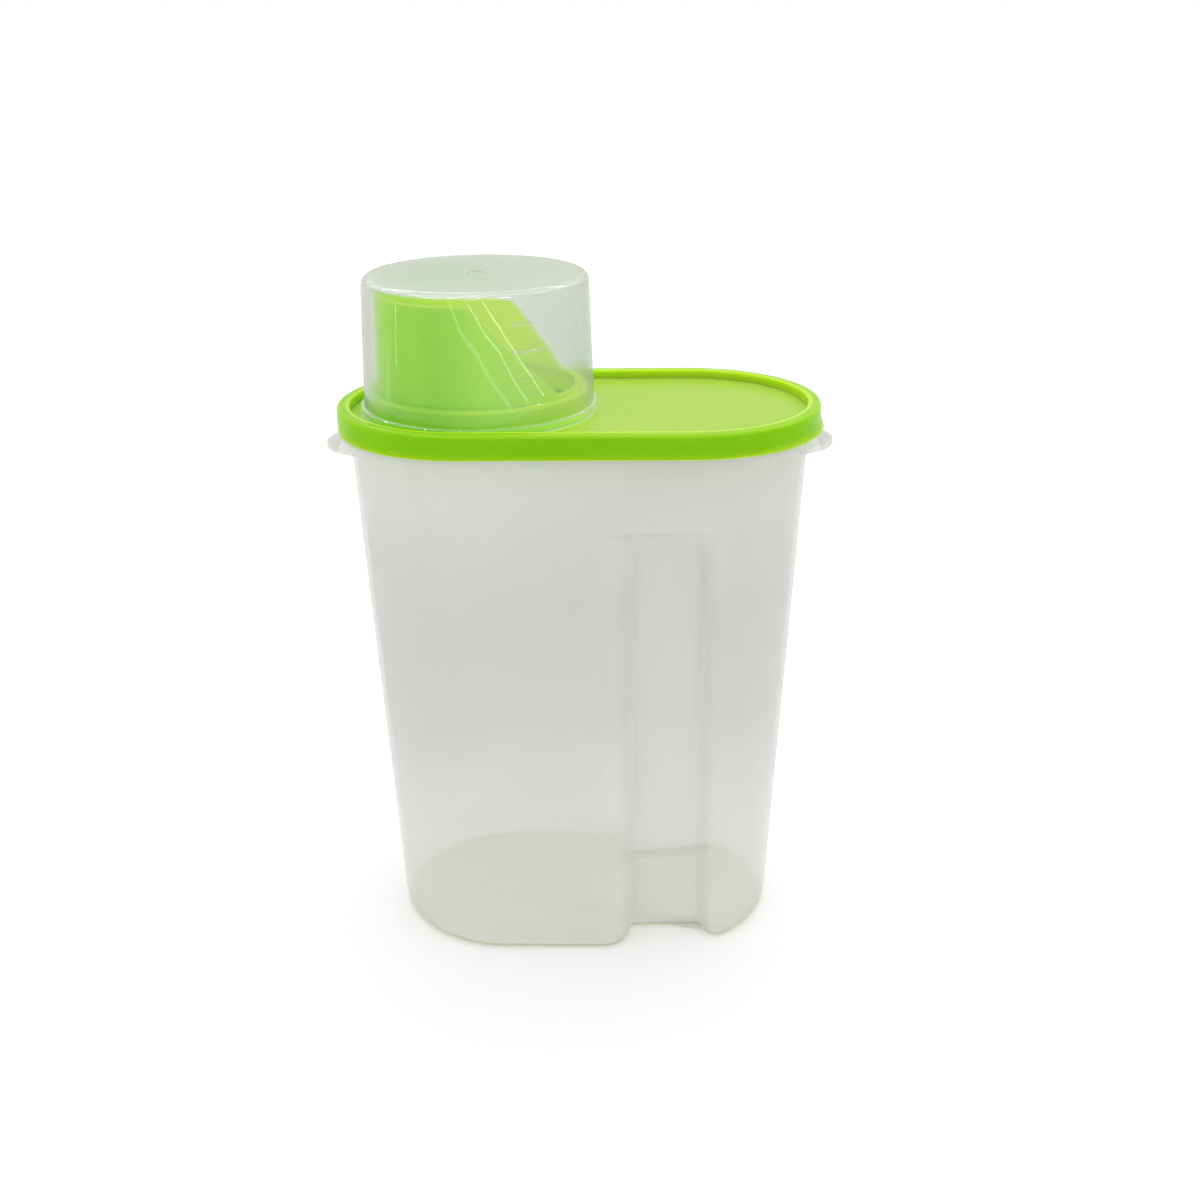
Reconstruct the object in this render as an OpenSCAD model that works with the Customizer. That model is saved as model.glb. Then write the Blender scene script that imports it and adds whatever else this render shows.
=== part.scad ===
// Dry-food keeper: a tall oval bin, a push-on lid with a slanted pouring spout,
// and a measuring cup that stands upside down over the spout as its cap.
// The origin is on the table, under the middle of the bin. The spout is at -X.

/* [Bin] */
// Length of the bin at its foot
base_length = 150.8; // [142:0.1:160]
// Depth of the bin at its foot
base_depth = 91; // [86:0.1:91.3]
// Length of the bin just under its rim
mouth_length = 173.2; // [165:0.1:190]
// Depth of the bin just under its rim
mouth_depth = 91.3; // [91:0.1:100]
// Height of the drafted body, from the table to the top of its shoulder
body_height = 204.9; // [190:0.1:230]
// Thickness of the body's walls
bin_wall = 1.6; // [1.2:0.1:2]
// Thickness of the floor
floor_thickness = 2; // [1.2:0.1:3]
// Radius of the round edge between floor and walls
foot_radius = 4; // [2.5:0.5:5]

/* [Grip grooves] */
// How far the middle of the grooves lies past the centre of the body's round end
grip_past_center = 3.5; // [0:0.1:5]
// Width of a groove between its side walls
grip_width = 28.2; // [22:0.1:30]
// Depth of a groove at the foot
grip_depth_foot = 15.5; // [10:0.1:17]
// Depth of a groove where its back wall starts to curve out
grip_depth_top = 12.6; // [9:0.1:16]
// Distance from the shoulder down to the top of a groove
grip_top_drop = 28.9; // [20:0.1:40]
// Height of the scoop in which the back wall curves out to the face
grip_scoop_height = 28; // [16:1:40]
// Radius of the wide round edge on the spout's side of a groove
grip_wide_edge = 11; // [6:0.5:13]
// Radius of the tight round edge on the other side
grip_tight_edge = 6.5; // [5.5:0.5:8]
// Radius of the two inside corners of a groove
grip_corner = 2.5; // [1.5:0.5:4]

/* [Rim] */
// How far the neck stands out from the mouth, all round
rim_step = 2.35; // [2:0.05:3]
// Thickness of the neck
neck_wall = 1.6; // [1.2:0.1:2]
// Height of the neck above the shoulder
neck_height = 7.7; // [6:0.1:12]
// Thickness of the shoulder between body and neck
shoulder_thickness = 1.6; // [1.2:0.1:2.5]
// How far the stop ledge stands out from the neck
ledge_reach = 1.4; // [0.5:0.1:1.8]
// Height of the stop ledge
ledge_height = 1.2; // [0.8:0.1:1.6]
// Radius of a finger tab
tab_radius = 20; // [16:0.5:24]
// How far a finger tab reaches past the end of the lid
tab_reach = 5.05; // [3:0.05:8]
// Thickness of a finger tab
tab_thickness = 1.4; // [1:0.1:2]
// Depth of the tabs' top face below the top of the shoulder
tab_drop = 5.6; // [3:0.1:8]

/* [Lid] */
// Thickness of the skirt outside the neck
skirt_wall = 1.7; // [1.2:0.1:2.2]
// Thickness of the plug wall inside the neck
plug_wall = 1.1; // [0.8:0.1:1.6]
// How far the plug wall reaches down below the panel
plug_reach = 2.1; // [1:0.1:2.4]
// Thickness of the band that joins skirt and plug over the rim
band_thickness = 1.6; // [1.2:0.1:2.2]
// Radius of the band's outer edge
band_outer_radius = 1.6; // [0.5:0.1:1.6]
// Radius of the band's inner edge
band_inner_radius = 0.8; // [0.3:0.1:1]
// Depth of the sunken panel below the band
recess_depth = 3.35; // [2.6:0.05:4.5]
// Thickness of the panel
panel_thickness = 1.6; // [1.2:0.1:2.4]
// Radius of the fillet between the panel and the wall round it
recess_fillet = 0.5; // [0.3:0.1:0.8]
// How far the lift lip stands out from the skirt, at the end away from the spout
lip_reach = 1.3; // [0.6:0.1:2]
// Height of the lift lip
lip_height = 4.2; // [2:0.1:5]

/* [Spout] */
// Distance from the spout's axis to the centre of the lid's round end
spout_setback = 3.65; // [1:0.05:4]
// How far the spout's wall stands back from the collar
collar_step = 3.35; // [2:0.05:6]
// How much smaller the spout's radius is at the top
spout_draft = 0.7; // [0.2:0.1:1.5]
// Thickness of the spout's wall
spout_wall = 1.8; // [1.2:0.1:2.4]
// Height of the collar that the cup sits round
collar_height = 9.4; // [6:0.1:12]
// Radius of the round edge on top of the collar
collar_edge = 1.2; // [0.4:0.1:1.6]
// Where the slanted cut starts at the top, measured from the axis towards the lift lip
cut_start = 1.1; // [-4:0.1:6]
// How far inside the spout's wall the slanted cut ends
cut_end_inset = 7.3; // [4:0.1:12]
// How far above the collar the slanted cut ends
cut_floor = 1; // [0.6:0.1:3]

/* [Measuring cup] */
// How much smaller the cup's radius is at its closed end
cup_draft = 1.6; // [0.8:0.1:3]
// Height of the cup
cup_height = 50.75; // [47:0.05:60]
// Thickness of the cup's wall
cup_wall = 1.4; // [1:0.1:1.8]
// Thickness of the cup's closed end
cup_end_thickness = 1.6; // [1.2:0.1:2.4]
// Outer radius of the round edge at the closed end
cup_edge_radius = 3; // [2:0.1:4]
// How far the rim band stands out from the wall
cup_band_reach = 1.2; // [0.6:0.1:2]
// Height of the rim band
cup_band_height = 3.2; // [2:0.1:6]
// Volume between two graduation lines, in millilitres
graduation_volume = 50; // [40:5:60]
// Number of graduation lines
graduation_count = 4; // [1:1:4]
// Length of a long graduation line, in degrees round the cup
graduation_angle = 17; // [8:1:30]
// Length of a short graduation line, as a share of a long one
graduation_short_share = 0.6; // [0.4:0.05:0.8]
// Direction of the graduation lines' middle, in degrees from the lift lip's side
graduation_direction = -60; // [-180:5:180]
// How far the graduation lines stand out from the wall
graduation_reach = 0.2; // [0.15:0.05:0.5]
// Height of a graduation line where it meets the wall
graduation_height = 1; // [0.8:0.1:2]
// Radius of the moulding gate's mark in the closed end
gate_radius = 3; // [1:0.5:5]
// Depth of the moulding gate's mark
gate_depth = 0.5; // [0.2:0.1:0.8]

/* [Clearances] */
// Gap between the neck and the lid's walls on each side of it
neck_clearance = 0.3; // [0.25:0.05:0.5]
// Gap between the rim and the band over it
seat_clearance = 0.3; // [0.2:0.05:0.5]
// Gap between the collar and the cup's wall
collar_clearance = 0.35; // [0.3:0.05:0.6]
// Gap between the panel and the cup's rim
cup_clearance = 0.3; // [0.2:0.05:0.5]
// Gap between the cup's rim band and the wall round the panel
recess_clearance = 0.5; // [0.3:0.05:0.8]
// Gap between the spout's top and the inside of the cup's closed end
headroom = 4.1; // [2:0.1:10]

/* [Smoothness] */
// Steps in each quarter of the body's round ends
end_steps = 14; // [8:1:18]
// Steps in each round edge of a groove
edge_steps = 7; // [4:1:10]
// Steps in each inside corner of a groove
corner_steps = 3; // [2:1:5]
// Steps up the round edge of the floor
foot_steps = 5; // [3:1:7]
// Steps up the scoop at the top of a groove
scoop_steps = 8; // [4:1:10]

/* [Hidden] */
$fn = 96;
// How deep joined shapes run into each other, and how far a cutting shape runs past what it cuts
overlap = 0.5;
spare = 1;

// Everything from here on is worked out from the sizes above.
grip_x = (base_length - base_depth) / 2 + grip_past_center;
grip_top = body_height - grip_top_drop;
grip_scoop_start = grip_top - grip_scoop_height;
neck_length = mouth_length + 2 * rim_step;
neck_depth = mouth_depth + 2 * rim_step;
end_center = (neck_length - neck_depth) / 2;
neck_radius = neck_depth / 2;
rim_top = body_height + neck_height;

skirt_radius = neck_radius + neck_clearance + skirt_wall;
plug_radius = neck_radius - neck_wall - neck_clearance;
recess_radius = plug_radius - plug_wall;
band_underside = rim_top + seat_clearance;
lid_top = band_underside + band_thickness;
skirt_bottom = body_height + seat_clearance;
panel_top = lid_top - recess_depth;
plug_bottom = panel_top - panel_thickness - plug_reach;
tab_tip = end_center + skirt_radius + tab_reach;

cup_bottom = panel_top + cup_clearance;
cup_mouth_radius = recess_radius - recess_clearance - cup_band_reach;
cup_slope = cup_draft / cup_height;
cup_bore_end = cup_height - cup_end_thickness;
cup_bore_edge = cup_edge_radius - cup_wall;
collar_radius =
    cup_mouth_radius - cup_slope * (collar_height + cup_clearance) - cup_wall - collar_clearance;
collar_top = panel_top + collar_height;
spout_offset = end_center - spout_setback;
spout_radius = collar_radius - collar_step;
spout_top_radius = spout_radius - spout_draft;
spout_top = cup_bottom + cup_bore_end - headroom;

bin_color = [0.82, 0.83, 0.80];
lid_color = [0.56, 0.83, 0.16];
cup_color = [0.84, 0.87, 0.83];

function mix(a, b, t) = a + (b - a) * t;

// Points on an arc about a centre, from one angle to another.
function arc(center, radius, from, to, steps) =
    [for (i = [0:steps]) let (a = mix(from, to, i / steps)) center + radius * [cos(a), sin(a)]];

// The face between the round ends, at one x: straight, and then round past the end's centre.
function face_point(x, center, radius) =
    let (past = max(0, x - center)) [x, -sqrt(radius * radius - past * past)];

// How far a groove's side wall leans back so that it still runs smoothly from corner to edge.
// room is the height left between the two arcs, and radii is the sum of their radii.
function lean(room, radii) = max(0, -2 * atan2(room, radii));

// The front groove's outline at full depth, from face to face.
function groove_points(center, radius, left, right, back, wide, tight, corner) =
    let (
        past = max(0, right + tight - center),
        tight_y = sqrt(pow(radius - tight, 2) - past * past),
        tight_angle = 360 - atan2(tight_y, past),
        wide_lean = lean(radius - wide - back - corner, wide + corner),
        tight_lean = lean(tight_y - back - corner, tight + corner)
    )
    concat(
        arc([left - wide, wide - radius], wide, -90, -wide_lean, edge_steps),
        arc([left + corner, -back - corner], corner, 180 - wide_lean, 90, corner_steps),
        arc([right - corner, -back - corner], corner, 90, tight_lean, corner_steps),
        arc([right + tight, -tight_y], tight, 180 + tight_lean, tight_angle, edge_steps)
    );

// The front half of the body's outline at one level, from the left tip to the right tip.
// inset moves it inwards all round, and share runs from 0 (no groove) to 1 (full groove).
function half_outline(length, width, groove_depth, inset, share) =
    let (
        center = (length - width) / 2,
        radius = width / 2 - inset,
        left = grip_x - grip_width / 2 - inset,
        right = grip_x + grip_width / 2 + inset,
        wide = grip_wide_edge - inset,
        tight = grip_tight_edge - inset,
        back = width / 2 - groove_depth - inset,
        groove = groove_points(center, radius, left, right, back, wide, tight, grip_corner + inset),
        count = len(groove),
        plain = [
            for (i = [0:count - 1])
                face_point(mix(groove[0].x, groove[count - 1].x, i / (count - 1)), center, radius)
        ],
        past = max(0, right + tight - center),
        start = -atan2(sqrt(pow(radius - tight, 2) - past * past), past),
        last = arc([right + tight - past, 0], radius, start, 0, end_steps)
    )
    concat(
        arc([-center, 0], radius, -180, -90, end_steps),
        [for (i = [0:count - 1]) mix(plain[i], groove[i], share)],
        [for (i = [1:end_steps]) last[i]]
    );

// One closed ring of the body at height z: the front half, then the back half as its mirror image.
function ring(z, inset, share) =
    let (
        t = z / body_height,
        half = half_outline(
            mix(base_length, mouth_length, t),
            mix(base_depth, mouth_depth, t),
            mix(grip_depth_foot, grip_depth_top, min(1, z / grip_scoop_start)),
            inset,
            share
        ),
        count = len(half)
    )
    concat(
        [for (p = half) [p.x, p.y, z]],
        [for (i = [count - 2:-1:1]) [half[i].x, -half[i].y, z]]
    );

// The rings up one side of the wall: round foot, straight wall, scoop and shoulder.
function wall_rings(bottom, inset, edge, scoop_end) =
    concat(
        [
            for (i = [0:foot_steps])
                let (a = 90 * i / foot_steps)
                ring(bottom + edge * (1 - cos(a)), inset + edge * (1 - sin(a)), 1)
        ],
        [
            for (i = [0:scoop_steps])
                let (a = 90 * i / scoop_steps)
                ring(mix(grip_scoop_start, scoop_end, sin(a)), inset, cos(a))
        ],
        [ring(body_height, inset, 0)]
    );

function reversed(list) = [for (i = [len(list) - 1:-1:0]) list[i]];

// A closed solid whose skin runs through the rings in order, with a flat cap on the first and last.
module skin(rings) {
    count = len(rings[0]);
    last = len(rings) - 1;
    polyhedron(
        points = [for (r = rings) each r],
        faces = concat(
            [[for (i = [0:count - 1]) i]],
            [[for (i = [count - 1:-1:0]) last * count + i]],
            [
                for (j = [0:last - 1])
                    for (i = [0:count - 1])
                        let (a = j * count + i, b = j * count + (i + 1) % count)
                        each [[a, a + count, b + count], [a, b + count, b]]
            ]
        )
    );
}

// An oval outline with half-round ends about the two end centres.
module oval(center, radius) {
    for (side = [-1, 1])
        translate([side * center, 0])
            circle(r = radius);
    square([2 * center, 2 * radius], center = true);
}

module oval_plate(center, radius, height) {
    linear_extrude(height)
        oval(center, radius);
}

// Carries a profile round an oval: its x is the distance from the end centres' line, its y is the height.
module around(center) {
    for (side = [0, 180])
        rotate([0, 0, side]) {
            translate([center, 0, 0])
                rotate([0, 0, -90])
                    rotate_extrude(angle = 180)
                        children();
            translate([-center, 0, 0])
                rotate([90, 0, 90])
                    linear_extrude(2 * center)
                        children();
        }
}

// What a round outer edge takes off a square corner at the origin, the material being at -x, -y.
module corner_waste(radius) {
    difference() {
        translate([-radius, -radius])
            square(radius + spare);
        translate([-radius, -radius])
            circle(r = radius);
    }
}

// ---- Bin ----

module finger_tabs() {
    tab_top = body_height - tab_drop;
    body_length = mix(base_length, mouth_length, tab_top / body_height);
    body_depth = mix(base_depth, mouth_depth, tab_top / body_height);
    for (side = [0, 180])
        rotate([0, 0, side])
            translate([0, 0, tab_top - tab_thickness])
                linear_extrude(tab_thickness)
                    difference() {
                        translate([tab_tip - tab_radius, 0])
                            circle(r = tab_radius);
                        oval((body_length - body_depth) / 2, body_depth / 2 - bin_wall / 2);
                    }
}

// Shoulder, stop ledge and neck, in one profile.
module rim_profile() {
    mouth_radius = mouth_depth / 2;
    neck_inner = neck_radius - neck_wall;
    translate([mouth_radius - bin_wall / 2, body_height - shoulder_thickness])
        square([neck_radius - mouth_radius + bin_wall / 2, shoulder_thickness]);
    translate([neck_radius - overlap, body_height - ledge_height])
        square([ledge_reach + overlap, ledge_height]);
    difference() {
        translate([neck_inner, body_height - overlap])
            square([neck_wall, neck_height + overlap]);
        translate([neck_radius, rim_top])
            corner_waste(neck_wall / 2);
        translate([neck_inner, rim_top])
            mirror([1, 0])
                corner_waste(neck_wall / 2);
    }
}

module bin() {
    color(bin_color)
        union() {
            skin(concat(
                wall_rings(0, 0, foot_radius, grip_top),
                reversed(wall_rings(floor_thickness, bin_wall, foot_radius - bin_wall, grip_top + bin_wall))
            ));
            around(end_center)
                rim_profile();
            finger_tabs();
        }
}

// ---- Lid ----

// Skirt, band and plug wall, in one profile.
module band_profile() {
    skirt_inner = skirt_radius - skirt_wall;
    difference() {
        translate([recess_radius, skirt_bottom])
            square([skirt_radius - recess_radius, lid_top - skirt_bottom]);
        translate([plug_radius, skirt_bottom - spare])
            square([skirt_inner - plug_radius, band_underside - skirt_bottom + spare]);
        translate([recess_radius - spare, skirt_bottom - spare])
            square([plug_wall + spare + overlap, plug_bottom - skirt_bottom + spare]);
        translate([skirt_radius, lid_top])
            corner_waste(band_outer_radius);
        translate([recess_radius, lid_top])
            mirror([1, 0])
                corner_waste(band_inner_radius);
    }
    translate([recess_radius, panel_top])
        difference() {
            translate([-recess_fillet, -overlap])
                square([recess_fillet + overlap, recess_fillet + overlap]);
            translate([-recess_fillet, recess_fillet])
                circle(r = recess_fillet);
        }
}

// A crescent under the skirt's end, flared to give a finger something to lift.
module lift_lip() {
    intersection() {
        translate([end_center, -skirt_radius, skirt_bottom])
            cube([2 * skirt_radius, 2 * skirt_radius, lip_height]);
        difference() {
            translate([end_center + lip_reach, 0, skirt_bottom])
                cylinder(h = lip_height, r1 = skirt_radius, r2 = skirt_radius - lip_reach);
            translate([end_center, 0, skirt_bottom - spare])
                cylinder(h = lip_height + 2 * spare, r = skirt_radius - skirt_wall / 2);
        }
    }
}

// The spout's wall and collar, as a profile about the spout's axis.
module spout_profile() {
    step_underside = collar_top - spout_wall;
    difference() {
        polygon([
            [collar_radius, panel_top - panel_thickness],
            [collar_radius, collar_top],
            [spout_radius, collar_top],
            [spout_top_radius, spout_top],
            [spout_top_radius - spout_wall, spout_top],
            [spout_radius - spout_wall, step_underside],
            [collar_radius - spout_wall, step_underside],
            [collar_radius - spout_wall, panel_top - panel_thickness]
        ]);
        translate([collar_radius, collar_top])
            corner_waste(collar_edge);
    }
}

// What the slanted cut takes off the spout, seen from the front.
module slanted_cut() {
    reach = cup_mouth_radius;
    rotate([90, 0, 0])
        linear_extrude(2 * reach, center = true)
            polygon([
                [cut_start, spout_top + spare],
                [cut_start, spout_top],
                [spout_radius - cut_end_inset, collar_top + cut_floor],
                [reach, collar_top + cut_floor],
                [reach, spout_top + spare]
            ]);
}

module lid() {
    color(lid_color) {
        around(end_center)
            band_profile();
        lift_lip();
        difference() {
            translate([0, 0, panel_top - panel_thickness])
                oval_plate(end_center, recess_radius + plug_wall / 2, panel_thickness);
            translate([-spout_offset, 0, panel_top - panel_thickness - spare])
                cylinder(h = panel_thickness + 2 * spare, r = collar_radius - spout_wall / 2);
        }
        translate([-spout_offset, 0, 0])
            difference() {
                rotate_extrude()
                    spout_profile();
                slanted_cut();
            }
    }
}

// ---- Measuring cup ----

// The half section of a drafted cup standing on its mouth, solid to the axis, with a round edge at the top.
module cup_section(mouth_radius, height, edge) {
    draft = atan(cup_slope);
    edge_center = [mouth_radius - cup_slope * (height - edge) - edge / cos(draft), height - edge];
    polygon([
        [0, 0],
        [mouth_radius, 0],
        edge_center + edge * [cos(draft), sin(draft)],
        edge_center,
        [0, edge_center.y]
    ]);
    translate([0, edge_center.y - overlap])
        square([edge_center.x, edge + overlap]);
    intersection() {
        translate(edge_center)
            circle(r = edge);
        translate([edge_center.x - overlap, edge_center.y - overlap])
            square(edge + 2 * overlap);
    }
}

// Depth from the inside of the closed end at which the cup holds a volume, as if its wall were upright.
function graduation_depth(volume) = 1000 * volume / (PI * pow(cup_mouth_radius - cup_draft - cup_wall, 2));

module graduation_lines() {
    for (i = [1:graduation_count]) {
        z = cup_bore_end - graduation_depth(i * graduation_volume);
        angle = graduation_angle * (i % 2 == 0 ? 1 : graduation_short_share);
        wall_radius = cup_mouth_radius - cup_slope * z;
        root = graduation_height / 2;
        crest = graduation_height / 4;
        rotate([0, 0, graduation_direction - graduation_angle / 2])
            rotate_extrude(angle = angle)
                polygon([
                    [wall_radius - cup_wall / 2, z - root],
                    [wall_radius, z - root],
                    [wall_radius + graduation_reach, z - crest],
                    [wall_radius + graduation_reach, z + crest],
                    [wall_radius, z + root],
                    [wall_radius - cup_wall / 2, z + root]
                ]);
    }
}

module measuring_cup() {
    bore_mouth_radius = cup_mouth_radius - cup_wall;
    color(cup_color)
        translate([-spout_offset, 0, cup_bottom])
            difference() {
                union() {
                    rotate_extrude()
                        cup_section(cup_mouth_radius, cup_height, cup_edge_radius);
                    rotate_extrude()
                        difference() {
                            translate([bore_mouth_radius, 0])
                                square([cup_wall + cup_band_reach, cup_band_height]);
                            translate([cup_mouth_radius + cup_band_reach, cup_band_height])
                                corner_waste(cup_band_reach / 2);
                        }
                    graduation_lines();
                }
                rotate_extrude()
                    cup_section(bore_mouth_radius, cup_bore_end, cup_bore_edge);
                translate([0, 0, -spare])
                    cylinder(h = spare + overlap, r = bore_mouth_radius - cup_slope * overlap);
                translate([0, 0, cup_height - gate_depth])
                    cylinder(h = gate_depth + spare, r = gate_radius);
            }
}

bin();
lid();
measuring_cup();
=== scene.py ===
# %% [markdown]
# # A dry-food keeper: frosted bin, lime lid, clear measuring cup
# Three mouldings make this keeper. The bin is a tall oval of frosted polypropylene, the lid is a soft
# lime polyethylene with its pouring spout moulded in one, and the measuring cup stands upside down
# over the spout as its cap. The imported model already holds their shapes, so most of this lesson is
# about plastic: how it scatters, tints and shines.

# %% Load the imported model
import math

import bpy
from mathutils import Matrix, Vector


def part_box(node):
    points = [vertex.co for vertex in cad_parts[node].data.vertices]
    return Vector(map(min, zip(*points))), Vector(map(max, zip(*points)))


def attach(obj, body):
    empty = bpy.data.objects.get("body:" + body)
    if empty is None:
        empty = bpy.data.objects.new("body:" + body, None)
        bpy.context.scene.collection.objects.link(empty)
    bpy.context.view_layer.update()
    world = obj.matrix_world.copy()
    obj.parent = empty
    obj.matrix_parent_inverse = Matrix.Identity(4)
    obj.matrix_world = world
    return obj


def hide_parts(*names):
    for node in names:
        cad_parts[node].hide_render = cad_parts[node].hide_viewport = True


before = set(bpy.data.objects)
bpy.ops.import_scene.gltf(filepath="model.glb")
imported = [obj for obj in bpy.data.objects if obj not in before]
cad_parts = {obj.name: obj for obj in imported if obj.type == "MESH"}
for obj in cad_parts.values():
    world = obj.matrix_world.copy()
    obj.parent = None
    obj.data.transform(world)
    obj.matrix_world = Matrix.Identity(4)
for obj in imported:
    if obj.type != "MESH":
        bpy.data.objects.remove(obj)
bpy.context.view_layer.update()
bpy.ops.object.select_all(action="DESELECT")
print("nodes:", sorted(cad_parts))

# %% [markdown]
# ## Where the pieces are
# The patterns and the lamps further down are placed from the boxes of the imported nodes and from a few
# heights and radii of the mouldings, in metres. The cup is round, so its box gives the upright axis
# that it shares with the spout. The radius in the middle of a round wall tells its inner side from its
# outer side. The lid's rim follows an oval: two half circles round two end centres, with straight sides
# between them.

# %% Measure the cup
cup_low, cup_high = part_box("measuring_cup")
cup_axis = (cup_low + cup_high) / 2
cup_foot_radius = (cup_high.y - cup_low.y) / 2
cup_mouth_radius = 0.0433
cup_draft = 0.0016
cup_height = 0.05075
cup_slope = cup_draft / cup_height
cup_wall = 0.0014
cup_band_height = 0.0032
print("cup axis at x = %.4f m, radius at the foot %.4f m" % (cup_axis.x, cup_foot_radius))

# %% Measure the lid
lid_low, lid_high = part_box("lid")
gap_under_cup = 0.0003
panel_top = cup_low.z - gap_under_cup
collar_top = 0.22055
collar_middle_radius = 0.0403
spout_middle_radius = 0.0366
end_centre = 0.04095
recess_radius = 0.0450
lid_corners = [corner.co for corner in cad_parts["lid"].data.vertices]
spout_corners = [corner for corner in lid_corners if corner.z > collar_top + 0.001]
spout_radii = [math.hypot(corner.x - cup_axis.x, corner.y) for corner in spout_corners]
print("the lid is %.3f m long" % (lid_high.x - lid_low.x))
print("the spout's wall lies between the radii %.4f m and %.4f m" % (min(spout_radii), max(spout_radii)))

# %% Measure the bin
bin_low, bin_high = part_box("bin")
floor_top = 0.0020
groove_middle = 0.0334
groove_half_width = 0.0141
groove_edge_depth = 0.0435
tabs_from = 0.0895
print("the bin is %.3f m long over its tabs and %.3f m high" % (bin_high.x - bin_low.x, bin_high.z))

# %% [markdown]
# ## The camera
# The eye looks down at the table from a little over half a metre away. The camera is turned in three
# plain steps: a small swing about the upright axis, a tilt down, and a slight roll about its own line
# of sight. The focal length is written in picture widths, which suits any sensor.

# %% Set up the camera
camera_place = Vector((0.0181, -0.5642, 0.3614))
swing = math.radians(1.466)
tilt_down = math.radians(21.50)
roll = math.radians(-0.675)
focal_in_widths = 1.2802
sensor_mm = 36.0

camera_data = bpy.data.cameras.new("camera")
camera_data.sensor_width = sensor_mm
camera_data.lens = focal_in_widths * sensor_mm
camera_data.shift_x = 0.0080
camera_data.shift_y = -0.0127
camera = bpy.data.objects.new("camera", camera_data)
bpy.context.scene.collection.objects.link(camera)
camera.matrix_world = (
    Matrix.Translation(camera_place)
    @ Matrix.Rotation(swing, 4, "Z")
    @ Matrix.Rotation(math.pi / 2 - tilt_down, 4, "X")
    @ Matrix.Rotation(roll, 4, "Z")
)
bpy.context.scene.camera = camera
bpy.context.scene.view_settings.view_transform = "Standard"
print("lens %.1f mm" % camera_data.lens)

# %% [markdown]
# ## Helpers for node materials
# A material is a small graph. These helpers add a node, set its sockets by name and link others to
# them, so that each finish further down reads like a recipe.

# %% Nodes, sockets and links
def new_material(name):
    """A material with an empty graph and its output node."""
    material = bpy.data.materials.new(name)
    material.use_nodes = True
    material.node_tree.nodes.clear()
    output = material.node_tree.nodes.new("ShaderNodeOutputMaterial")
    return material, output


def set_socket(material, socket, value):
    """Links an output to a socket, or writes a plain value into it. A colour may leave out its alpha."""
    if isinstance(value, bpy.types.NodeSocket):
        material.node_tree.links.new(value, socket)
    elif socket.type == "RGBA":
        socket.default_value = (*value[:3], 1)
    else:
        socket.default_value = value


def add_node(material, kind, settings=None, **sockets):
    """Adds a node. A socket is given by its name, with _ for a space."""
    node = material.node_tree.nodes.new(kind)
    for name, value in (settings or {}).items():
        setattr(node, name, value)
    for name, value in sockets.items():
        set_socket(material, node.inputs[name.replace("_", " ")], value)
    return node


# %% Arithmetic and mixing
def maths(material, operation, first, second=0.0, clamp=False):
    """One step of arithmetic on sockets or numbers."""
    node = add_node(material, "ShaderNodeMath", {"operation": operation, "use_clamp": clamp})
    set_socket(material, node.inputs[0], first)
    set_socket(material, node.inputs[1], second)
    return node.outputs["Value"]


def times(material, first, second):
    """The product of two sockets or numbers."""
    return maths(material, "MULTIPLY", first, second)


def ramp(material, value, low, high, start, end):
    """Turns a value between low and high into one between start and end."""
    node = add_node(
        material, "ShaderNodeMapRange", Value=value, From_Min=low, From_Max=high, To_Min=start, To_Max=end
    )
    return node.outputs["Result"]


def between(material, value, low, high, edge):
    """1 where a value lies between low and high, falling to 0 over edge on either side."""
    rise = ramp(material, value, low - edge, low, 0, 1)
    fall = ramp(material, value, high, high + edge, 1, 0)
    return times(material, rise, fall)


def blend(material, factor, first, second):
    """A colour that runs from first to second as factor goes from 0 to 1."""
    node = add_node(material, "ShaderNodeMix", {"data_type": "RGBA"})
    set_socket(material, node.inputs[0], factor)
    colour_sockets = [socket for socket in node.inputs if socket.type == "RGBA"]
    set_socket(material, colour_sockets[0], first)
    set_socket(material, colour_sockets[1], second)
    return [socket for socket in node.outputs if socket.type == "RGBA"][0]


def mix_shaders(material, factor, first, second):
    """A surface that runs from the first shader to the second as factor goes from 0 to 1."""
    node = material.node_tree.nodes.new("ShaderNodeMixShader")
    for socket, value in zip(node.inputs, (factor, first, second)):
        set_socket(material, socket, value)
    return node.outputs["Shader"]


# %% [markdown]
# ## Places on a piece
# A moulding isn't one even colour: it is paler where it is thin and darker where it is deep, and most of
# the patterns below also paint light and shade into the colour. They are laid by the place on the piece
# itself, in metres, so they stay with it when it moves. The lid's rim follows an oval, and its distance
# from the line between the oval's two end centres tells its inside from its outside.

# %% Places and patterns
def object_coordinates(material, scale=(1, 1, 1)):
    """The point in metres on the piece itself, stretched by scale."""
    place = add_node(material, "ShaderNodeTexCoord").outputs["Object"]
    return add_node(material, "ShaderNodeMapping", Vector=place, Scale=scale).outputs["Vector"]


def noise(material, scale, detail=2.0, stretch=(1, 1, 1)):
    """A cloudy pattern around 0.5, with its blobs 1 / scale metres across."""
    place = object_coordinates(material, stretch)
    return add_node(material, "ShaderNodeTexNoise", Vector=place, Scale=scale, Detail=detail).outputs["Fac"]


def place_on_piece(material, axis):
    """Where a point of the piece is along the X, Y or Z axis."""
    return add_node(material, "ShaderNodeSeparateXYZ", Vector=object_coordinates(material)).outputs[axis]


def length_across(material, first, second):
    """The length of a line that goes first one way and second the other, as on a map."""
    squares = maths(material, "ADD", times(material, first, first), times(material, second, second))
    return maths(material, "SQRT", squares)


def distance_from_cup_axis(material):
    """How far a point is from the upright axis that the cup and the spout share."""
    across = maths(material, "SUBTRACT", place_on_piece(material, "X"), cup_axis.x)
    return length_across(material, across, place_on_piece(material, "Y"))


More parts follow.
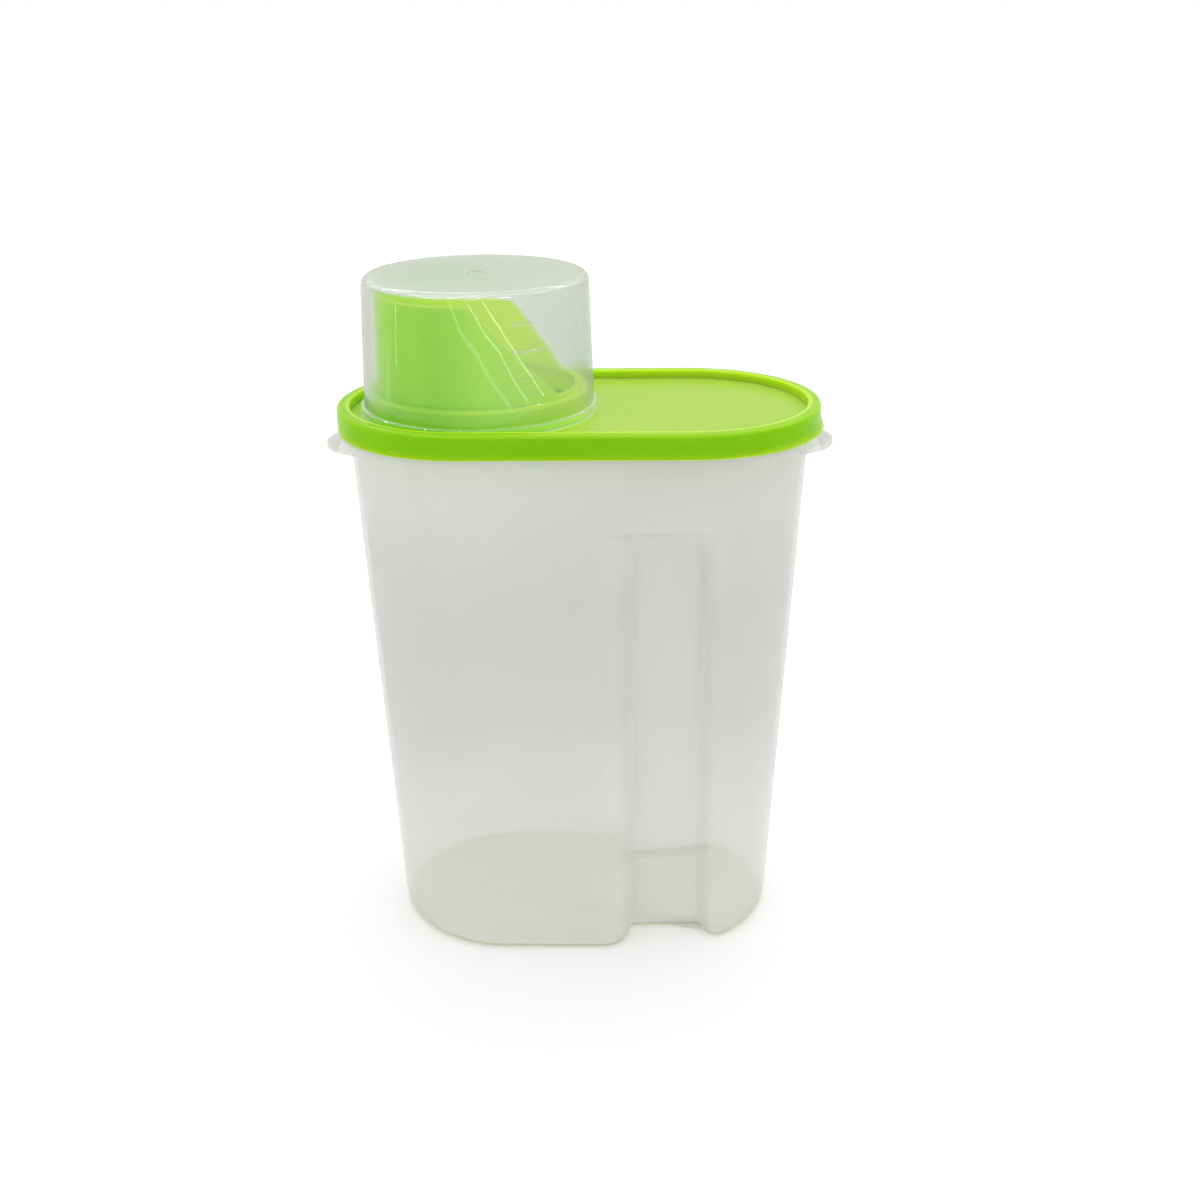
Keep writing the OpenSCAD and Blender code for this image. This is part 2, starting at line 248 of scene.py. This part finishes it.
def distance_from_spine(material):
    """How far a point is from the line between the end centres of the lid's oval."""
    from_middle = maths(material, "ABSOLUTE", place_on_piece(material, "X"))
    past_end = maths(material, "SUBTRACT", from_middle, end_centre)
    return length_across(material, maths(material, "MAXIMUM", past_end, 0), place_on_piece(material, "Y"))


def facing_up(material):
    """1 on faces that look straight up, 0 on upright ones, below 0 on those that look down."""
    normal = add_node(material, "ShaderNodeNewGeometry").outputs["Normal"]
    return add_node(material, "ShaderNodeSeparateXYZ", Vector=normal).outputs["Z"]


# %% [markdown]
# ## The frosted bin's plastic
# Natural polypropylene isn't clear: tiny crystals scatter the light, so a wall shows what is behind
# it only softly. A volume inside the wall could do that, but it is slow and noisy. Each face of the
# wall here lets part of the light straight through (Alpha) and scatters the rest, which is quick,
# and two faces in front of each other give the right haze. The scattering reaches 6 mm, so the wall
# glows as if lit from within.
#
# The tint is laid by height and place, and nearly all of it is painted light and shade. The waist is
# painted darker, as shade, with an edge that clouds push up and down, the shoulder is painted a little
# darker too, and the foot is painted whiter, as light. The green light that comes down through the lid
# is painted on the floor and on the wall under the lid's skirt, and the floor is also painted darker, as
# shade. The grooves lie in their own shade, so light is painted into them: their tint is paler, most of
# all at the bottom, and so is the floor inside them. The thin tabs at the ends are painted darker, as
# shade.

# %% Tints of the bin
# Painted light and shade on the body's own grey: the waist, the upper body and the tabs are painted shade,
# the foot and the grooves painted light, the floor painted shade with the lid's green light in it, and the
# floor in the groove and the wall under the skirt painted green light.
bin_tints = {
    "lower body": (0.83, 0.82, 0.793),
    "upper body": (0.80, 0.785, 0.765),
    "waist": (0.705, 0.698, 0.68),
    "foot": (0.905, 0.905, 0.875),
    "upper groove": (0.79, 0.775, 0.76),
    "lower groove": (0.92, 0.91, 0.89),
    "floor": (0.66, 0.76, 0.45),
    "floor in the groove": (0.77, 0.86, 0.49),
    "under the skirt": (0.79, 0.81, 0.66),
    "tabs": (0.50, 0.53, 0.48),
}
print("the bin has", len(bin_tints), "tints")

# %% Heights at which the bin's tints change
upper_body_fade = (0.10, 0.17)
waist_from = 0.095
waist_to = 0.150
waist_edge = 0.035
waist_waves = 0.010
foot_fade = (0.020, 0.060)
low_groove_fade = (0.020, 0.100)
skirt_green_light_fade = (0.190, 0.2045)
print("the waist's clouds are darkest from %.3f m to %.3f m" % (waist_from, waist_to))

# %% Frosted polypropylene
def body_light_and_shade(material, height, cloud):
    """The bin's base tint by height, painted light and shade from the whiter foot over the darker waist to
    the shoulder.
    """
    # Painted shade, a little darker towards the shoulder.
    upper = ramp(material, height, *upper_body_fade, 0, 1)
    tint = blend(material, upper, bin_tints["lower body"], bin_tints["upper body"])
    # Painted shade at the waist, with an edge that clouds push up and down.
    wave = ramp(material, cloud, 0.3, 0.7, -waist_waves, waist_waves)
    waved_height = maths(material, "ADD", height, wave)
    waist = between(material, waved_height, waist_from, waist_to, waist_edge)
    tint = blend(material, waist, tint, bin_tints["waist"])
    # Painted light at the foot.
    foot = ramp(material, height, *foot_fade, 1, 0)
    return blend(material, foot, tint, bin_tints["foot"])


def groove_mask(material, across, depth):
    """1 inside the two grip grooves, 0 elsewhere. Their walls lie behind the body's flat faces."""
    beside_groove = maths(material, "ABSOLUTE", maths(material, "SUBTRACT", across, groove_middle))
    from_middle = maths(material, "ABSOLUTE", depth)
    behind_face = ramp(material, from_middle, groove_edge_depth - 0.001, groove_edge_depth, 1, 0)
    in_width = ramp(material, beside_groove, groove_half_width - 0.0001, groove_half_width + 0.0019, 1, 0)
    return times(material, behind_face, in_width)


def frosted_tint(material, cloud):
    """The bin's colour, painted light and shade: the body, then the grooves, the floor, the wall under the
    skirt and the tabs.
    """
    across, depth, height = (place_on_piece(material, axis) for axis in "XYZ")
    tint = body_light_and_shade(material, height, cloud)
    # Painted light in the grooves against their own shade, paler still at the bottom.
    in_groove = groove_mask(material, across, depth)
    low_in_groove = ramp(material, height, *low_groove_fade, 1, 0)
    groove_painted_light = blend(material, low_in_groove, bin_tints["upper groove"], bin_tints["lower groove"])
    tint = blend(material, in_groove, tint, groove_painted_light)
    # Painted shade on the floor with the lid's green light in it, painted lighter in the groove.
    floor_light_and_shade = blend(material, in_groove, bin_tints["floor"], bin_tints["floor in the groove"])
    on_floor = ramp(material, height, floor_top + 0.0001, floor_top + 0.0006, 1, 0)
    tint = blend(material, on_floor, tint, floor_light_and_shade)
    # Painted green light from the lid on the wall under its skirt.
    skirt_green_light = ramp(material, height, *skirt_green_light_fade, 0, 0.8)
    tint = blend(material, skirt_green_light, tint, bin_tints["under the skirt"])
    # Painted shade on the thin tabs at the ends.
    tabs = ramp(material, maths(material, "ABSOLUTE", across), tabs_from, tabs_from + 0.001, 0, 1)
    return blend(material, tabs, tint, bin_tints["tabs"])


def frosted_polypropylene():
    """The bin's finish: half see-through, half scattering, with a fine grain."""
    material, output = new_material("frosted_polypropylene")
    cloud = noise(material, scale=14, detail=3)
    grain = noise(material, scale=2500, detail=2)
    bump = add_node(material, "ShaderNodeBump", Height=grain, Strength=0.08, Distance=0.0002)
    shader = add_node(
        material,
        "ShaderNodeBsdfPrincipled",
        Base_Color=frosted_tint(material, cloud),
        Roughness=ramp(material, cloud, 0.3, 0.7, 0.36, 0.44),
        IOR=1.49,
        Specular_IOR_Level=0.15,
        Subsurface_Weight=1.0,
        Subsurface_Radius=(1.0, 1.0, 1.0),
        Subsurface_Scale=0.006,
        Alpha=0.44,
        Normal=bump.outputs["Normal"],
    )
    material.node_tree.links.new(shader.outputs["BSDF"], output.inputs["Surface"])
    return material


# %% [markdown]
# ## The lid's plastic
# The lid is a soft lime polyethylene with a satin skin. A plain green surface would look like paint, so
# the light is let in under the skin (Subsurface). It travels some millimetres there, red and green
# further than blue, and thin parts glow yellower by themselves. Light is also painted into the tint:
# the flat panel is painted palest, as the light that comes up through it from the white bin, and the
# thin inner side of the rim is painted bright too. The round top of the skirt gets a painted highlight
# and its lower edge a little painted light, so both are lighter than its middle.
#
# The spout is one thin wall. Its closed side is the deep lime of the skirt with soft, paler upright
# streaks, and towards the open side light that shines through from within is painted into its tint.
# Its inside is painted brighter too, as light from behind, and its upper edges are painted darker, as
# shade. Light goes further on its inside, so the wall there is lit from behind as well.

# %% Tints of the lid
skirt_tints = ((0.24, 0.58, 0.004), (0.265, 0.61, 0.007))
# Painted light on the skirt's lower edge and a painted highlight on its round top.
low_edge_painted_light = (0.33, 0.61, 0.012)
crown_painted_highlight = (0.31, 0.61, 0.014)
# Painted light on the rim's inner side and on the panel, brighter still on the panel under the cup, against
# its shade.
rim_painted_light_tints = ((0.48, 0.98, 0.020), (0.50, 0.99, 0.026))
panel_painted_light_tints = ((0.36, 0.57, 0.055), (0.39, 0.60, 0.065))
under_cup_painted_light = (0.50, 0.92, 0.05)
closed_side_tints = ((0.30, 0.65, 0.005), (0.32, 0.67, 0.008))
upright_streak_tint = (0.38, 0.75, 0.012)
# Painted light towards the spout's open side and on its inside, and painted shade on its upper edges.
open_side_painted_light = (0.55, 0.90, 0.06)
spout_inside_painted_light = ((0.20, 0.88, 0.02), (0.41, 0.99, 0.12))
spout_edge_painted_shade = (0.22, 0.50, 0.008)
print("the panel's tint runs from", panel_painted_light_tints[0], "to", panel_painted_light_tints[1])

# %% Skirt, rim and panel
def above_panel(material):
    """1 on all of the lid that stands above its panel, 0 on the panel and below."""
    return ramp(material, place_on_piece(material, "Z"), panel_top + 0.0002, panel_top + 0.0004, 0, 1)


def skirt_tint(material, cloud, above):
    """The skirt's colour, with painted light on its lower edge and a painted highlight on its round top."""
    tint = blend(material, cloud, *skirt_tints)
    # Painted light on the lower edge.
    low_edge = ramp(material, place_on_piece(material, "Z"), lid_low.z + 0.0004, lid_low.z + 0.0025, 1, 0)
    tint = blend(material, low_edge, tint, low_edge_painted_light)
    # Painted highlight on the round top.
    crown = times(material, above, ramp(material, facing_up(material), 0.1, 0.6, 0, 1))
    return blend(material, crown, tint, crown_painted_highlight)


def panel_tint(material, cloud):
    """The panel's colour, painted pale as the light from the bin below. Where the cup covers it, it lies in
    the shade, so light is painted there and its tint is brighter.
    """
    # Painted light: the panel is paler than the skirt.
    tint = blend(material, cloud, *panel_painted_light_tints)
    from_axis = distance_from_cup_axis(material)
    # Painted light under the cup, against the shade that it casts.
    under_cup = ramp(material, from_axis, cup_foot_radius - 0.0005, cup_foot_radius + 0.0003, 1, 0)
    return blend(material, under_cup, tint, under_cup_painted_light)


def rim_and_panel_tint(material, cloud):
    """The colours of the skirt, of the rim's inner side and of the flat panel, the last two with painted
    light.
    """
    above = above_panel(material)
    # Painted light on the rim's inner side.
    rim = blend(material, cloud, *rim_painted_light_tints)
    from_spine = distance_from_spine(material)
    inner_side = ramp(material, from_spine, recess_radius + 0.0010, recess_radius + 0.0025, 1, 0)
    tint = blend(material, times(material, above, inner_side), skirt_tint(material, cloud, above), rim)
    on_panel = ramp(material, facing_up(material), 0.1, 0.95, 0, 1)
    on_panel = maths(material, "SUBTRACT", on_panel, above, clamp=True)
    return blend(material, on_panel, tint, panel_tint(material, cloud))


# %% Spout
def inside_of_spout(material):
    """1 on the inner side of the spout's wall and of the collar, 0 on their outer side."""
    step_low = collar_top - 0.0018
    step_high = collar_top - 0.0016
    height = place_on_piece(material, "Z")
    wall_middle = ramp(material, height, step_low, step_high, collar_middle_radius, spout_middle_radius)
    inside = maths(material, "SUBTRACT", wall_middle, distance_from_cup_axis(material))
    return ramp(material, inside, -0.0001, 0.0001, 0, 1)


def spout_tint(material, cloud):
    """The spout's colours: its closed side, painted light on its open side and inside, painted shade on its
    upper edges.
    """
    streak = ramp(material, noise(material, scale=75, detail=1, stretch=(1, 1, 0.03)), 0.35, 0.65, 0, 1)
    closed_side = blend(material, cloud, *closed_side_tints)
    closed_side = blend(material, streak, closed_side, upright_streak_tint)
    # Painted light towards the open side.
    open_side = ramp(material, place_on_piece(material, "X"), cup_axis.x - 0.020, cup_axis.x + 0.032, 0, 1)
    tint = blend(material, open_side, closed_side, open_side_painted_light)
    # Painted light on the inside.
    inner_painted_light = blend(material, open_side, *spout_inside_painted_light)
    tint = blend(material, inside_of_spout(material), tint, inner_painted_light)
    # Painted shade on the upper edges.
    height = place_on_piece(material, "Z")
    over_collar = ramp(material, height, collar_top + 0.00095, collar_top + 0.00145, 0, 1)
    edges = times(material, ramp(material, facing_up(material), 0.3, 0.6, 0, 0.9), over_collar)
    return blend(material, edges, tint, spout_edge_painted_shade)


# %% Lime polyethylene
def lime_polyethylene():
    """The lid's finish: satin, scattering, with a longer way for light inside the spout."""
    material, output = new_material("lime_polyethylene")
    cloud = ramp(material, noise(material, scale=25, detail=2), 0.3, 0.7, 0, 1)
    from_axis = distance_from_cup_axis(material)
    within_cup = ramp(material, from_axis, cup_mouth_radius + 0.0001, cup_mouth_radius + 0.0003, 1, 0)
    on_spout = times(material, within_cup, above_panel(material))
    tint = blend(material, on_spout, rim_and_panel_tint(material, cloud), spout_tint(material, cloud))
    lit_from_behind = times(material, on_spout, inside_of_spout(material))
    grain = noise(material, scale=1800, detail=2)
    bump = add_node(material, "ShaderNodeBump", Height=grain, Strength=0.1, Distance=0.0002)
    shader = add_node(
        material,
        "ShaderNodeBsdfPrincipled",
        Base_Color=tint,
        Roughness=ramp(material, cloud, 0, 1, 0.20, 0.27),
        IOR=1.5,
        Specular_IOR_Level=0.04,
        Subsurface_Weight=1.0,
        Subsurface_Radius=(0.8, 1.0, 0.1),
        Subsurface_Scale=ramp(material, lit_from_behind, 0, 1, 0.005, 0.025),
        Normal=bump.outputs["Normal"],
    )
    material.node_tree.links.new(shader.outputs["BSDF"], output.inputs["Surface"])
    return material


# %% [markdown]
# ## The cup's plastic
# The cup is clarified polypropylene: polished outside, a little dull inside, with a trace of milk. A
# see-through finish could be made with Alpha, as on the bin, but then nothing behind it would bend. A
# refracting glass shader bends the view through the thick foot and the round upper edge as the real
# wall does. Its outer skin is smooth, so it mirrors lamps sharply, and its inner skin is rough, which
# softens what stands behind it. The flat end is satin, as if its mould hadn't been polished there.
#
# A white haze is mixed in, stronger on the flat end and on the round edge, where the wall is thickest.
# It also grows on the side towards the panel and wherever the line of sight runs a long way through
# the wall, and the gate's mark in the end is milky. Part of the haze scatters light back and part
# lets it through.
#
# A refracting wall would leave the spout in the dark, because light that is bent can't be aimed at a
# lamp. So for shadows and for scattered light the wall counts as open.

# %% Tints of the cup
cup_wall_tint = (0.900, 0.903, 0.895)
cup_end_tint = (0.81, 0.80, 0.75)
cup_foot_tint = (0.985, 0.99, 0.975)
milk_tint = (0.69, 0.71, 0.665)
milk_glow_tint = (0.80, 0.83, 0.76)
inner_roughness = 0.14
end_roughness = 0.24
print("the cup's inner skin has a roughness of", inner_roughness, "and its end one of", end_roughness)

# %% Parts of the cup
def on_wall(material):
    """1 on the cup's upright wall, 0 on its end and on its round edge."""
    return ramp(material, maths(material, "ABSOLUTE", facing_up(material)), 0.1, 0.3, 1, 0)


def inner_skin(material):
    """1 on the cup's inner side, 0 on its outer side."""
    height = place_on_piece(material, "Z")
    above_mouth = maths(material, "SUBTRACT", height, cup_low.z)
    narrowing = times(material, above_mouth, cup_slope)
    as_at_mouth = maths(material, "ADD", distance_from_cup_axis(material), narrowing)
    wall_middle = cup_mouth_radius - cup_wall / 2
    inner_wall = ramp(material, as_at_mouth, wall_middle - 0.0001, wall_middle + 0.0001, 1, 0)
    under_end = ramp(material, height, cup_high.z - 0.0012, cup_high.z - 0.0010, 1, 0)
    return times(material, inner_wall, under_end)


def gate_mark(material, amount):
    """The round mark in the cup's end where the melt came in: amount inside it, 0 elsewhere."""
    gate_radius = 0.0030
    gate_depth = 0.0005
    from_axis = distance_from_cup_axis(material)
    in_mark = ramp(material, from_axis, gate_radius + 0.0001, gate_radius + 0.0002, 1, 0)
    bottom = cup_high.z - gate_depth
    near_end = ramp(material, place_on_piece(material, "Z"), bottom - 0.0002, bottom - 0.0001, 0, amount)
    return times(material, in_mark, near_end)


# %% Haze of the cup
def cup_haze(material):
    """How milky the cup is, from 0 to 1."""
    upward = facing_up(material)
    wall = ramp(material, noise(material, scale=20, detail=2), 0.3, 0.7, 0.03, 0.05)
    across = place_on_piece(material, "X")
    towards_panel = ramp(material, across, cup_axis.x - 0.005, cup_axis.x + 0.035, 0, 0.09)
    turned_away = add_node(material, "ShaderNodeLayerWeight", Blend=0.5).outputs["Facing"]
    long_way_through = ramp(material, turned_away, 0.40, 0.95, 0, 0.33)
    long_way_through = times(material, long_way_through, on_wall(material))
    haze = maths(material, "ADD", maths(material, "ADD", wall, towards_panel), long_way_through)
    haze = maths(material, "MAXIMUM", haze, gate_mark(material, amount=0.4))
    round_edge = ramp(material, upward, 0.15, 0.6, 0, 0.22)
    flat_end = ramp(material, upward, 0.8, 1.0, 0, 0.25)
    return maths(material, "ADD", haze, maths(material, "ADD", round_edge, flat_end))


# %% Clear polypropylene
def clear_glass(material):
    """The clear share of the cup's finish: a refracting skin with faint ripples."""
    ripple = noise(material, scale=230, detail=2, stretch=(1, 1, 0.6))
    bump = add_node(material, "ShaderNodeBump", Height=ripple, Strength=1.0, Distance=0.000004)
    on_end = ramp(material, facing_up(material), 0.97, 1.0, 0, 1)
    tint = blend(material, on_end, cup_wall_tint, cup_end_tint)
    height = place_on_piece(material, "Z")
    band_top = cup_low.z + cup_band_height
    on_foot = ramp(material, height, band_top - 0.0002, band_top + 0.0003, 1, 0)
    inner_dullness = times(material, inner_skin(material), inner_roughness)
    end_dullness = times(material, on_end, end_roughness)
    glass = add_node(
        material,
        "ShaderNodeBsdfGlass",
        Color=blend(material, on_foot, tint, cup_foot_tint),
        Roughness=maths(material, "MAXIMUM", inner_dullness, end_dullness),
        IOR=1.35,
        Normal=bump.outputs["Normal"],
    )
    return glass.outputs["BSDF"]


def milk(material):
    """The milky share of the cup's finish: two thirds scatter back, one third glows through."""
    scattering = add_node(material, "ShaderNodeBsdfDiffuse", Color=milk_tint)
    glowing = add_node(material, "ShaderNodeBsdfTranslucent", Color=milk_glow_tint)
    return mix_shaders(material, 0.35, scattering.outputs["BSDF"], glowing.outputs["BSDF"])


def clear_polypropylene():
    """The cup's finish: clear glass and milk, open to shadows and to scattered light."""
    material, output = new_material("clear_polypropylene")
    milky = mix_shaders(material, cup_haze(material), clear_glass(material), milk(material))
    open_air = add_node(material, "ShaderNodeBsdfTransparent", Color=(1, 1, 1))
    rays = add_node(material, "ShaderNodeLightPath")
    passing = maths(material, "MAXIMUM", rays.outputs["Is Shadow Ray"], rays.outputs["Is Diffuse Ray"])
    surface = mix_shaders(material, passing, milky, open_air.outputs["BSDF"])
    material.node_tree.links.new(surface, output.inputs["Surface"])
    return material


# %% [markdown]
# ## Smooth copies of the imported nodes
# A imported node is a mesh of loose, flat triangles, and its mesh must stay as it is. A copy is merged
# into one skin, and the normals that came with the loose triangles are cleared, because they would
# smear the light across every sharp edge. It is then shaded smooth up to a chosen angle, so round
# walls shine as one surface while edges stay crisp. Weighted normals let the big flat faces win over
# the small round ones beside them, or a flat panel would shade as if it were dished. The copy stands
# for the node.

# %% Copy, merge and smooth
def smooth_copy(node, piece_name, material, smooth_up_to=30):
    """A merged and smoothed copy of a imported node, with its finish. The angle is in degrees."""
    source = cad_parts[node]
    piece = source.copy()
    piece.data = source.data.copy()
    piece.name = piece_name
    piece.data.name = piece_name
    bpy.context.scene.collection.objects.link(piece)
    bpy.ops.object.select_all(action="DESELECT")
    piece.select_set(True)
    bpy.context.view_layer.objects.active = piece
    bpy.ops.object.mode_set(mode="EDIT")
    bpy.ops.mesh.select_all(action="SELECT")
    bpy.ops.mesh.remove_doubles(threshold=1e-6)
    bpy.ops.object.mode_set(mode="OBJECT")
    bpy.ops.mesh.customdata_custom_splitnormals_clear()
    bpy.ops.object.shade_smooth_by_angle(angle=math.radians(smooth_up_to))
    bpy.ops.object.modifier_add(type="WEIGHTED_NORMAL")
    weighted = piece.modifiers[-1]
    weighted.keep_sharp = True
    weighted.mode = "FACE_AREA"
    weighted.weight = 100
    bpy.ops.object.modifier_apply(modifier=weighted.name)
    piece.data.materials.clear()
    piece.data.materials.append(material)
    print(piece_name, "has", len(piece.data.polygons), "faces")
    return piece


# %% [markdown]
# ## A truly round cup
# Streaks of light on a polished wall show the least fault in its normals, and an averaged normal is
# always a little off where narrow faces meet wide ones. The cup's wall is a plain cone, so its normals
# are known: they point straight away from the axis, tipped up by the wall's slope. They are written
# over the averaged ones wherever a face belongs to the cone.

# %% Normals of the cone
def away_from_axis(point):
    """The level direction from the cup's axis to a point."""
    return Vector((point.x - cup_axis.x, point.y - cup_axis.y, 0)).normalized()


def round_the_wall(piece, widest_miss=6):
    """Writes exact normals on the cone's faces, which look in or out to within widest_miss degrees."""
    mesh = piece.data
    normals = [loop.normal.copy() for loop in mesh.loops]
    limit = math.cos(math.radians(widest_miss))
    rounded = 0
    for face in mesh.polygons:
        side = face.normal.dot(away_from_axis(face.center))
        if abs(side) < limit:
            continue
        rounded += 1
        for index in face.loop_indices:
            corner = mesh.vertices[mesh.loops[index].vertex_index].co
            normal = away_from_axis(corner)
            normal.z = cup_slope
            normals[index] = normal.normalized() * math.copysign(1, side)
    mesh.normals_split_custom_set(normals)
    print(piece.name, "has", rounded, "faces on its cone")


# %% [markdown]
# ## Dressing the mouldings
# The real keeper is these three mouldings and nothing else, so no piece is modelled anew: each packed
# node is dressed as it is. Every copy takes its node's place and rides on the node's body. Only the cup
# needs its wall's normals made exact, because only the cup is polished.

# %% Dress the three mouldings
frosted_bin = smooth_copy("bin", "frosted_bin", frosted_polypropylene())
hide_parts("bin")
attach(frosted_bin, "bin")

lime_lid = smooth_copy("lid", "lime_lid", lime_polyethylene())
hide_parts("lid")
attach(lime_lid, "lid")

clear_cup = smooth_copy("measuring_cup", "clear_cup", clear_polypropylene())
round_the_wall(clear_cup)
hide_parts("measuring_cup")
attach(clear_cup, "measuring_cup")

# %% [markdown]
# ## The table and the studio
# The floor is a plain white sheet, wide enough to run out of sight. The world is an even white
# studio. The camera, mirrors and glass see both as plain white, while their light on the object is a
# little lower, so that pale plastic doesn't clip.

# %% Rays that look at the studio
def looked_at(material):
    """1 for the rays by which the camera, a mirror or glass sees a surface, 0 for all others."""
    rays = add_node(material, "ShaderNodeLightPath")
    seen = maths(material, "MAXIMUM", rays.outputs["Is Camera Ray"], rays.outputs["Is Glossy Ray"])
    return maths(material, "MAXIMUM", seen, rays.outputs["Is Transmission Ray"])


# %% Floor
def white_sheet(extra_when_seen):
    """A pale sheet of paper that looks brighter by extra_when_seen than the light it gives back."""
    material, output = new_material("white_sheet")
    fibre = noise(material, scale=3, detail=2)
    paper_tint = blend(material, fibre, (0.925, 0.925, 0.925), (0.935, 0.935, 0.935))
    paper = add_node(material, "ShaderNodeBsdfDiffuse", Color=paper_tint)
    extra = times(material, looked_at(material), extra_when_seen)
    glow = add_node(material, "ShaderNodeEmission", Strength=extra)
    both = material.node_tree.nodes.new("ShaderNodeAddShader")
    material.node_tree.links.new(paper.outputs["BSDF"], both.inputs[0])
    material.node_tree.links.new(glow.outputs["Emission"], both.inputs[1])
    material.node_tree.links.new(both.outputs["Shader"], output.inputs["Surface"])
    return material


floor_size = 30.0
bpy.ops.object.select_all(action="DESELECT")
bpy.ops.mesh.primitive_plane_add(size=floor_size, location=(0, 0, 0))
floor = bpy.context.object
floor.name = "floor"
floor.data.materials.append(white_sheet(extra_when_seen=0.12))
print("floor %.0f m wide" % floor_size)

# %% World
def studio_world(light_level):
    """A white world: plain white to the eye, light_level as light on the object."""
    world = bpy.data.worlds.new("studio")
    bpy.context.scene.world = world
    world.use_nodes = True
    world.node_tree.nodes.clear()
    strength = ramp(world, looked_at(world), 0, 1, light_level, 1.0)
    background = add_node(world, "ShaderNodeBackground", Color=(1, 1, 1), Strength=strength)
    output = world.node_tree.nodes.new("ShaderNodeOutputWorld")
    world.node_tree.links.new(background.outputs["Background"], output.inputs["Surface"])


world_light = 0.85
studio_world(world_light)
print("world light", world_light)

# %% [markdown]
# ## The lamps
# A soft sun from above and behind gives the faces that look up a little more light. The cup's sparkle
# comes from lamps that only mirrors see: three long tubes, in front, overhead and behind, draw bright
# lines along the round upper edge, and four thin lines of strips draw the streaks on the wall. The
# tubes hang high enough that no upright wall mirrors them.
#
# A streak is the mirror image of a strip, so each strip is placed backwards. For a point on the wall,
# the camera's line of sight is mirrored in the wall, and the lamp stands somewhere along that line.

# %% Lamps that are seen in the gloss
def area_lamp(name, matrix, size, radiance):
    """A rectangular lamp. radiance is how bright its face is, 1 being white."""
    data = bpy.data.lights.new(name, "AREA")
    data.shape = "RECTANGLE"
    data.size, data.size_y = size
    data.energy = radiance * math.pi * size[0] * size[1]
    lamp = bpy.data.objects.new(name, data)
    bpy.context.scene.collection.objects.link(lamp)
    lamp.matrix_world = matrix
    lamp.visible_camera = False
    lamp.visible_diffuse = False
    lamp.visible_transmission = False
    return lamp


def aim(place, target):
    """A matrix at place whose -Z looks at target."""
    direction = Vector(target) - Vector(place)
    return Matrix.Translation(place) @ direction.to_track_quat("-Z", "Y").to_matrix().to_4x4()


# %% Tubes for the upper edge
tube_elevations = {"front_tube": 40, "overhead_tube": 85, "back_tube": 130}
tube_size = (2.6, 0.05)
tube_distance = 1.2
tube_radiance = 60
cup_edge = Vector((cup_axis.x, -cup_mouth_radius, cup_high.z))
for name, elevation in tube_elevations.items():
    angle = math.radians(elevation)
    direction = Vector((0, -math.cos(angle), math.sin(angle)))
    area_lamp(name, aim(cup_edge + tube_distance * direction, cup_edge), tube_size, tube_radiance)
    print(name, "at", elevation, "degrees")

# %% Strips for the streaks
def strip_lamp(name, start, end, width, radiance, target):
    """A straight strip of light from start to end that faces target."""
    middle = (start + end) / 2
    along = (end - start).normalized()
    back = (middle - target).normalized()
    back = (back - along * back.dot(along)).normalized()
    turn = Matrix((along, back.cross(along), back)).transposed().to_4x4()
    return area_lamp(name, Matrix.Translation(middle) @ turn, ((end - start).length, width), radiance)


def mirrored_place(wall_turn, height, distance):
    """Where a lamp stands so that the camera sees it in the cup's wall at this turn and height."""
    angle = math.radians(wall_turn)
    radius = cup_mouth_radius - cup_slope * (height - cup_low.z)
    outward = Vector((math.sin(angle), -math.cos(angle), cup_slope)).normalized()
    wall = Vector((cup_axis.x + radius * math.sin(angle), cup_axis.y - radius * math.cos(angle), height))
    sight = (wall - camera_place).normalized()
    return wall + distance * (sight - 2 * sight.dot(outward) * outward)


# %% The streaks on the wall
# Each streak runs through points of the wall, given by a turn in degrees and a height in metres.
streaks = {
    "wide_streak": ((-7.5, 0.2600), (-2.0, 0.2485), (4.7, 0.2422), (15.2, 0.2274), (20.2, 0.2218)),
    "middle_streak": ((1.0, 0.2600), (5.3, 0.2536), (16.0, 0.2415), (20.8, 0.2334), (29.3, 0.2231)),
    "sharp_streak": ((8.4, 0.2600), (16.4, 0.2501), (23.7, 0.2410), (31.4, 0.2319), (41.0, 0.2218)),
    "side_streak": ((-36.4, 0.2585), (-36.9, 0.2470), (-37.3, 0.2355)),
}
strip_widths = {"wide_streak": 0.0060, "middle_streak": 0.003, "sharp_streak": 0.0025, "side_streak": 0.007}
strip_radiances = {"wide_streak": 3.5, "middle_streak": 7, "sharp_streak": 10, "side_streak": 14}
strip_distance = 0.7
for name, wall_points in streaks.items():
    corners = [mirrored_place(turn, height, strip_distance) for turn, height in wall_points]
    for number, (start, end) in enumerate(zip(corners, corners[1:])):
        strip_name = "%s_%d" % (name, number)
        strip_lamp(strip_name, start, end, strip_widths[name], strip_radiances[name], cup_axis)
    print(name, "made of", len(corners) - 1, "strips")

# %% Soft sun
sun_data = bpy.data.lights.new("soft_sun", "SUN")
sun_data.energy = 0.7
sun_data.angle = math.radians(80)
sun = bpy.data.objects.new("soft_sun", sun_data)
bpy.context.scene.collection.objects.link(sun)
sun_place = (0.3, 0.5, 2)
sun.matrix_world = aim(sun_place, (0, 0, 0))
print("sun strength", sun_data.energy)
